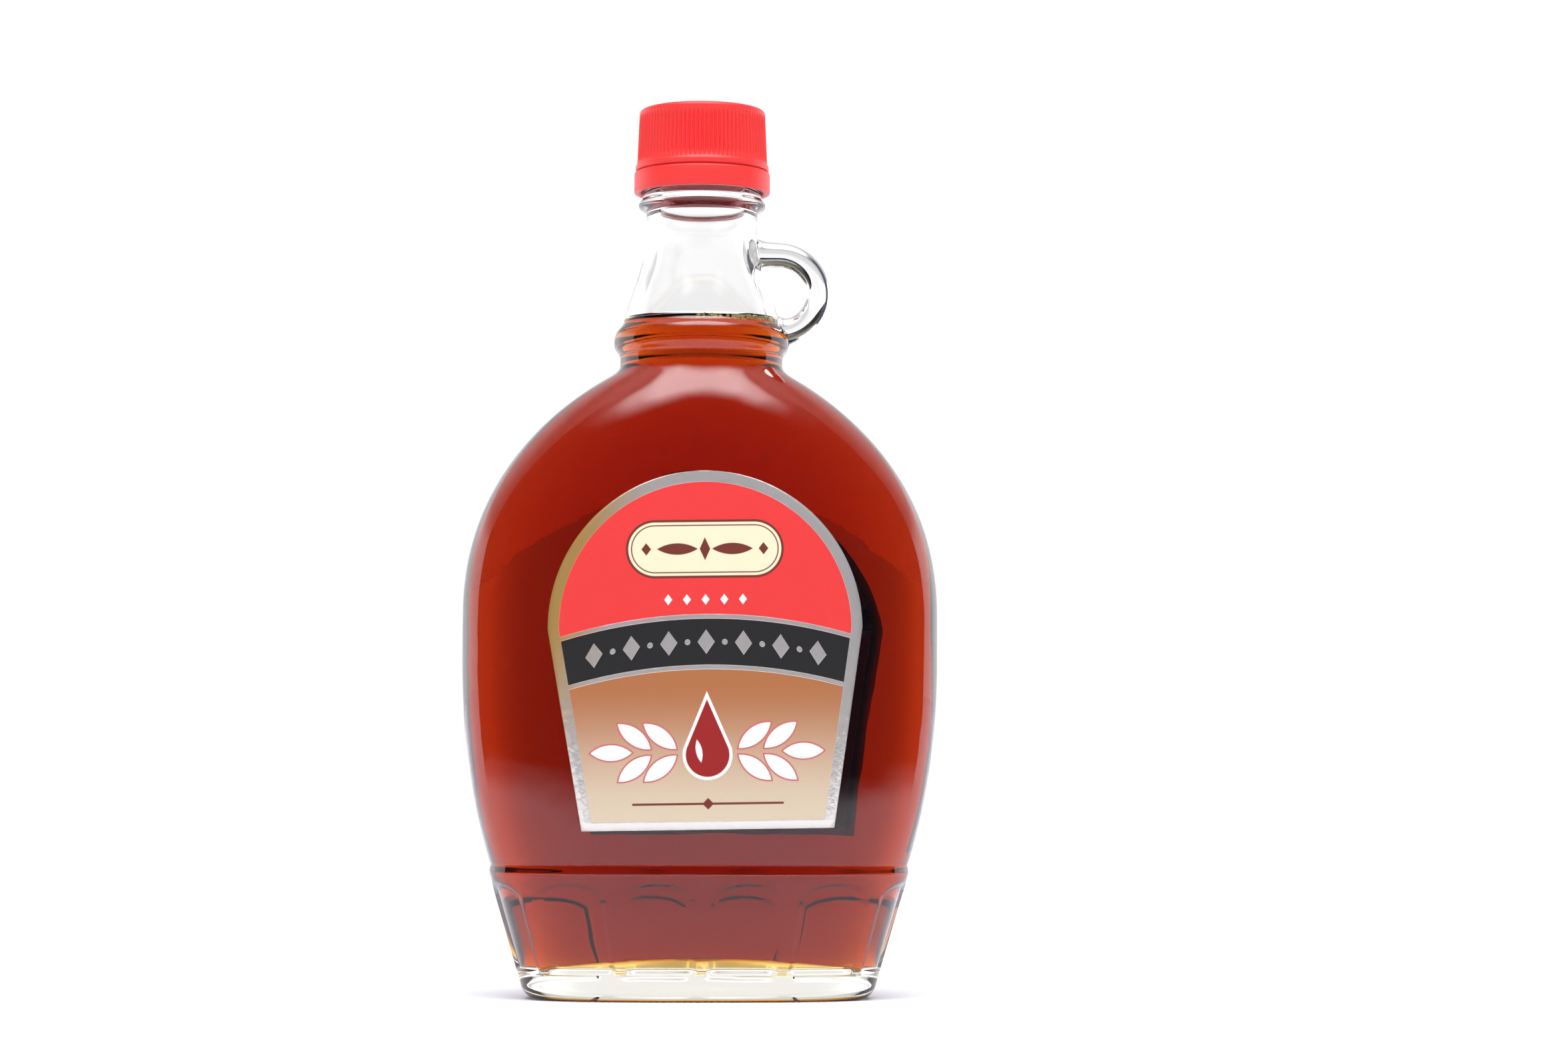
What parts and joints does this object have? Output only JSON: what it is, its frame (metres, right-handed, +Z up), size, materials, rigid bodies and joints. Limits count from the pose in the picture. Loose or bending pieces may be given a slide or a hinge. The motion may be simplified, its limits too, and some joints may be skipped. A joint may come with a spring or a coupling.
{
  "type": "glass syrup bottle",
  "caption": "Flat flask-shaped glass bottle of amber syrup with a finger-loop handle on its neck, a fluted foot, a ribbed red screw cap and arched paper labels front and back.",
  "frame": {"origin": "middle of the base, on the surface that the bottle stands on", "axes": "+Z up, -Y out of the front label, +X towards the handle"},
  "size_m": [0.1098, 0.0564, 0.2063],
  "materials": {
    "glass": "clear moulded glass, slightly wavy",
    "syrup": "clear dark amber liquid",
    "cap": "semi-gloss moulded red",
    "label": "coated print with a foil border"
  },
  "bodies": {
    "root": {"bottle": "glass", "syrup": "syrup", "cap": "cap", "front_label": "label", "back_label": "label"}
  },
  "joints": []
}
